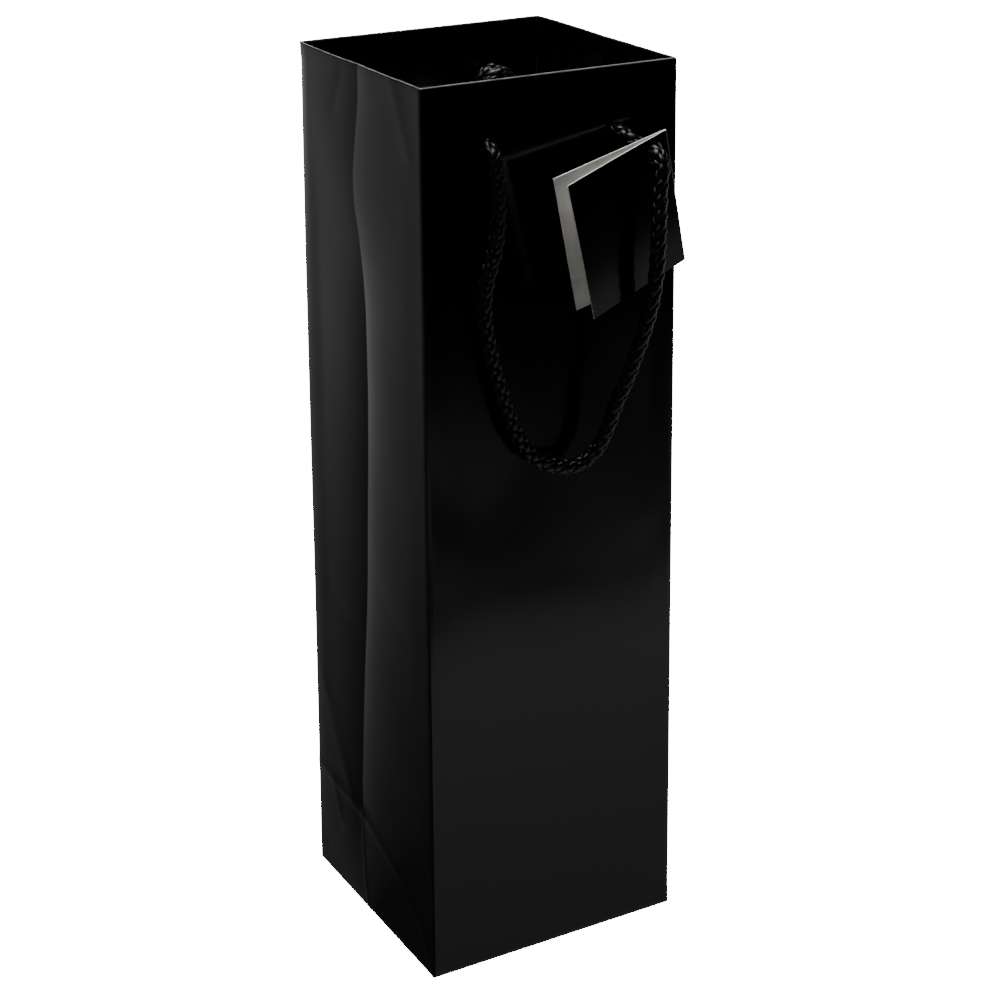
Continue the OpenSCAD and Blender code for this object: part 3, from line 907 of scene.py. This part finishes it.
def fibre_stock(name, light, dark, fleck_mm, roughness):
    """Uncoated paper or board: a mottle of two near colours, a few mm wide, with a relief of fibres."""
    material, tree, shader = new_material(name)
    shader.inputs["Roughness"].default_value = roughness
    shader.inputs["Specular IOR Level"].default_value = 0.3
    spot = add_node(tree, "TexCoord")
    in_mm = add_node(tree, "VectorMath", {0: spot.outputs["Object"], "Scale": 1 / MM}, operation="SCALE")
    place = in_mm.outputs[0]
    mottle = add_node(tree, "TexNoise", {"Vector": place, "Scale": 1 / fleck_mm, "Detail": 5.0,
                                         "Roughness": 0.65})
    colour = add_node(tree, "ValToRGB", {"Fac": mottle.outputs[0]})
    colour.color_ramp.elements[0].position, colour.color_ramp.elements[1].position = 0.32, 0.62
    colour.color_ramp.elements[0].color, colour.color_ramp.elements[1].color = linear(dark), linear(light)
    fibres = add_node(tree, "TexNoise", {"Vector": place, "Scale": 1 / FIBRE_MM, "Detail": 4.0})
    bump = add_node(tree, "Bump", {"Height": fibres.outputs[0], "Strength": 0.2, "Distance": 0.00005})
    tree.links.new(colour.outputs[0], shader.inputs["Base Color"])
    tree.links.new(bump.outputs[0], shader.inputs["Normal"])
    return material


bare_paper = fibre_stock("uncoated white paper", "#f1f0ec", "#e6e5e0", 6.0, 0.85)
grey_board = fibre_stock("recycled greyboard", "#9b9891", "#7d7a74", 2.0, 0.9)
print("bare stocks:", bare_paper.name, "and", grey_board.name)

# %% [markdown]
# The rope is bulk polypropylene yarn: each strand is a bundle of fine filaments with a soft sheen, so
# its glints are short and broken. The filaments are about a tenth of a millimetre, which is too fine to
# show, and are drawn two and a half times as coarse. They run along each strand, in the strand's UV map.

# %% Material: braid yarn
yarn, tree, shader = new_material("black polypropylene yarn")
shader.inputs["Specular IOR Level"].default_value = 0.32
uv = add_node(tree, "UVMap", uv_map="UVMap")
bundle = add_node(tree, "Mapping", {"Vector": uv.outputs[0], "Scale": (22.0, 3.0, 1.0)})
filament = add_node(tree, "TexNoise", {"Vector": bundle.outputs[0], "Scale": 1.0, "Detail": 2.0})
spot = add_node(tree, "TexCoord")
in_mm = add_node(tree, "VectorMath", {0: spot.outputs["Object"], "Scale": 1 / MM}, operation="SCALE")
patchy = add_node(tree, "TexNoise", {"Vector": in_mm.outputs[0], "Scale": 0.35, "Detail": 2.0})
rough = add_node(tree, "MapRange", {"Value": patchy.outputs[0], "From Min": 0.3, "From Max": 0.7,
                                    "To Min": 0.24, "To Max": 0.42})
tint = add_node(tree, "ValToRGB", {"Fac": filament.outputs[0]})
tint.color_ramp.elements[0].position, tint.color_ramp.elements[1].position = 0.35, 0.65
tint.color_ramp.elements[0].color, tint.color_ramp.elements[1].color = linear("#020202"), linear("#080808")
bump = add_node(tree, "Bump", {"Height": filament.outputs[0], "Strength": 0.8, "Distance": 0.00012})
tree.links.new(tint.outputs[0], shader.inputs["Base Color"])
tree.links.new(rough.outputs[0], shader.inputs["Roughness"])
tree.links.new(bump.outputs[0], shader.inputs["Normal"])
print(yarn.name, "has", len(tree.nodes), "nodes")

# %% Finishes put on
side_flaps = flaps[2:]
for piece in [bag_sheet, gift_tag] + flaps[:2]:
    piece.data.materials.append(gloss_paper)
    piece.data.materials.append(bare_paper)
for piece in side_flaps + [glue_flap]:
    piece.data.materials.append(bare_paper)
for piece in [base_board] + top_boards:
    piece.data.materials.append(grey_board)
for piece in list(ropes.values()) + knots:
    piece.data.materials.append(yarn)
finished = [bag_sheet, gift_tag, glue_flap, base_board] + flaps + top_boards + list(ropes.values()) + knots
print("finishes put on", len(finished), "pieces")

# %% [markdown]
# ## Floor, light and what the gloss sees
#
# Black gloss shows almost nothing but its surroundings, so these are built with care. The camera sees a
# pale floor and a pale room. The gloss sees a pale table under the bag that ends a little way in front of
# it, with a dim room beyond, and a soft lamp above.

# %% Stage
def emitter(name, strength):
    """A plain emission material, for stage pieces."""
    material = bpy.data.materials.new(name)
    material.use_nodes = True
    tree = material.node_tree
    tree.nodes.clear()
    glow = add_node(tree, "Emission", {"Strength": strength})
    add_node(tree, "OutputMaterial", {"Surface": glow.outputs[0]})
    return material, tree, glow


def stage_plane(name, corners, material, seen_by):
    """A stage rectangle that only some rays see: camera, diffuse, glossy."""
    mesh = bpy.data.meshes.new(name)
    mesh.from_pydata([tuple(c) for c in corners], [], [(0, 1, 2, 3)])
    plane = bpy.data.objects.new(name, mesh)
    bpy.context.scene.collection.objects.link(plane)
    mesh.materials.append(material)
    for ray in ("camera", "diffuse", "glossy", "transmission", "shadow"):
        setattr(plane, "visible_" + ray, ray in seen_by)
    return plane


FLOOR_Z, TABLE_Z = -0.0006, -0.001
BESIDE_BAG = -0.054      # where the table at the left begins
NEAR_EDGE, TABLE_EDGE = -0.02, -0.36
FAR, WIDE = 5, 30
pale, tree, glow = emitter("pale floor", 24.0)
stage_plane("floor", level(-WIDE, WIDE, -WIDE, WIDE, FLOOR_Z), pale, ("camera",))
print("floor at", FLOOR_Z, "m")

# %% [markdown]
# The table in front is a glowing card. It is darker near the bag, a painted shadow of the bag, gets lighter
# with distance, and is a little darker again at its edge.

# %% The table in front
table_front, tree, glow = emitter("table in front, as the gloss sees it", 1.0)
spot = add_node(tree, "TexCoord")
parts = add_node(tree, "SeparateXYZ", {0: spot.outputs["Object"]})
share = add_node(tree, "MapRange", {"Value": parts.outputs["Y"], "From Min": -0.05, "From Max": TABLE_EDGE})
painted_shade_near_to_far = add_node(tree, "ValToRGB", {"Fac": share.outputs[0]})
# the darker near end is the bag's painted shadow on the table
for position, grey in [(0.10, 0.40), (0.38, 0.50), (0.70, 0.64), (0.86, 0.56)]:
    element = painted_shade_near_to_far.color_ramp.elements.new(position)
    element.color = (grey, grey, grey, 1)
painted_shade_near_to_far.color_ramp.elements[0].color = (0.36, 0.36, 0.36, 1)
painted_shade_near_to_far.color_ramp.elements[-1].color = (0.25, 0.25, 0.25, 1)
tree.links.new(painted_shade_near_to_far.outputs[0], glow.inputs["Color"])
stage_plane("table_in_front", level(BESIDE_BAG, 4, TABLE_EDGE, NEAR_EDGE, TABLE_Z), table_front,
            ("glossy", "diffuse"))
print("table in front ends at y", TABLE_EDGE, "m")

# %% [markdown]
# The table at the left and behind is a glowing card with painted light and shade. It differs by bearing
# from the left side's middle, because one part of it is in the light and the next is in the bag's own
# shade, and it gets lighter with distance, as the bag's painted shade on it fades out.

# %% The table at the left and behind
table_behind, tree, glow = emitter("table behind, as the gloss sees it", 1.0)
spot = add_node(tree, "TexCoord")
bearing = add_node(tree, "Mapping", {"Vector": spot.outputs["Object"], "Location": (0.0, -0.0525, 0.0),
                                     "Rotation": (0.0, 0.0, math.radians(-90))})
angle = add_node(tree, "TexGradient", {"Vector": bearing.outputs[0]}, gradient_type="RADIAL")
ramp = add_node(tree, "ValToRGB", {"Fac": angle.outputs["Fac"]})
for position, grey in [(0.50, 0.60), (0.535, 0.52), (0.58, 0.27), (0.63, 0.15)]:
    element = ramp.color_ramp.elements.new(position)
    element.color = (grey, grey, grey, 1)
ramp.color_ramp.elements[0].color = (0.6, 0.6, 0.6, 1)
ramp.color_ramp.elements[-1].color = (0.15, 0.15, 0.15, 1)
reach_out = add_node(tree, "VectorMath", {0: spot.outputs["Object"]}, operation="LENGTH")
# strength rises with distance from the bag: the bag's painted shade on the table fades out
painted_shade_by_distance = add_node(tree, "MapRange", {"Value": reach_out.outputs["Value"], "From Min": 0.07,
                                      "From Max": 0.90, "To Min": 0.22, "To Max": 1.05})
tree.links.new(painted_shade_by_distance.outputs[0], glow.inputs["Strength"])
tree.links.new(ramp.outputs[0], glow.inputs["Color"])
stage_plane("table_at_left", level(-FAR, BESIDE_BAG, TABLE_EDGE, FAR, TABLE_Z), table_behind, ("glossy",))
stage_plane("table_at_rear", level(BESIDE_BAG, FAR, NEAR_EDGE, FAR, TABLE_Z), table_behind, ("glossy",))
print("table at the left begins at x", BESIDE_BAG, "m")

# %% [markdown]
# Beyond the table the room is nearly black, with a few dim shapes just above the table's edge. They give
# the front its broken, cloudy band, and one low box at the right gives the tag its lighter foot.

# %% The dim room beyond the table
room, tree, glow = emitter("dim room beyond the table", 1.0)
spot = add_node(tree, "TexCoord")
shapes = add_node(tree, "TexNoise", {"Vector": spot.outputs["Object"], "Scale": 10.0, "Detail": 1.0,
                                     "Distortion": 1.4})
levels = add_node(tree, "ValToRGB", {"Fac": shapes.outputs[0]})
levels.color_ramp.elements[0].position, levels.color_ramp.elements[1].position = 0.42, 0.60
levels.color_ramp.elements[0].color = (0.08, 0.08, 0.08, 1)
levels.color_ramp.elements[1].color = (0.42, 0.42, 0.42, 1)
parts = add_node(tree, "SeparateXYZ", {0: spot.outputs["Object"]})
fade = add_node(tree, "MapRange", {"Value": parts.outputs["Z"], "From Min": 0.08, "From Max": 0.15,
                                   "To Min": 1.0, "To Max": 0.0})
dim = add_node(tree, "Mix", {"Factor": fade.outputs[0], "A": (0, 0, 0, 1), "B": levels.outputs[0]},
               data_type="RGBA")
low_box = add_node(tree, "MapRange", {"Value": parts.outputs["Z"], "From Min": 0.130, "From Max": 0.155,
                                      "To Min": 0.28, "To Max": 0.0})
to_right = add_node(tree, "MapRange", {"Value": parts.outputs["X"], "From Min": 0.34, "From Max": 0.42})
beyond = add_node(tree, "Math", {0: low_box.outputs[0], 1: to_right.outputs[0]}, operation="MULTIPLY")
lit = add_node(tree, "Mix", {"Factor": 1.0, "A": dim.outputs["Result"], "B": beyond.outputs[0]},
               data_type="RGBA", blend_type="ADD")
tree.links.new(lit.outputs["Result"], glow.inputs["Color"])
ROOM_Y, ROOM_TOP = TABLE_EDGE - 0.01, 0.5
stage_plane("room_beyond", [(-2, ROOM_Y, 0), (3, ROOM_Y, 0), (3, ROOM_Y, ROOM_TOP), (-2, ROOM_Y, ROOM_TOP)],
            room, ("glossy",))
print("room begins at y", ROOM_Y, "m")

# %% World and lamp
world = bpy.data.worlds.new("room")
bpy.context.scene.world = world
world.use_nodes = True
tree = world.node_tree
tree.nodes.clear()
rays = add_node(tree, "LightPath")
seen = add_node(tree, "Background", {"Color": linear("#ffffff"), "Strength": 24.0})
felt = add_node(tree, "Background", {"Color": linear("#ffffff"), "Strength": 0.025})
both = add_node(tree, "MixShader", {0: rays.outputs["Is Camera Ray"], 1: felt.outputs[0],
                                    2: seen.outputs[0]})
add_node(tree, "OutputWorld", {"Surface": both.outputs[0]})


SOFTBOX_PLACE = np.array([-0.15, 0.18, 1.5])
SOFTBOX_AIM = np.array([0, 0, 0.3])
lamp = bpy.data.lights.new("overhead softbox", "AREA")
lamp.energy = 32.0
lamp.size = 0.9
back = (SOFTBOX_PLACE - SOFTBOX_AIM) / np.linalg.norm(SOFTBOX_PLACE - SOFTBOX_AIM)
right = np.cross([0.02, 1.0, 0.0], back)
right /= np.linalg.norm(right)
matrix = np.eye(4)
matrix[:3, 0], matrix[:3, 1], matrix[:3, 2] = right, np.cross(back, right), back
matrix[:3, 3] = SOFTBOX_PLACE
softbox = bpy.data.objects.new("overhead softbox", lamp)
softbox.matrix_world = Matrix(matrix.tolist())
bpy.context.scene.collection.objects.link(softbox)
print(f"softbox of {lamp.energy:.0f} W, {lamp.size:.1f} m wide, {SOFTBOX_PLACE[2]} m up")
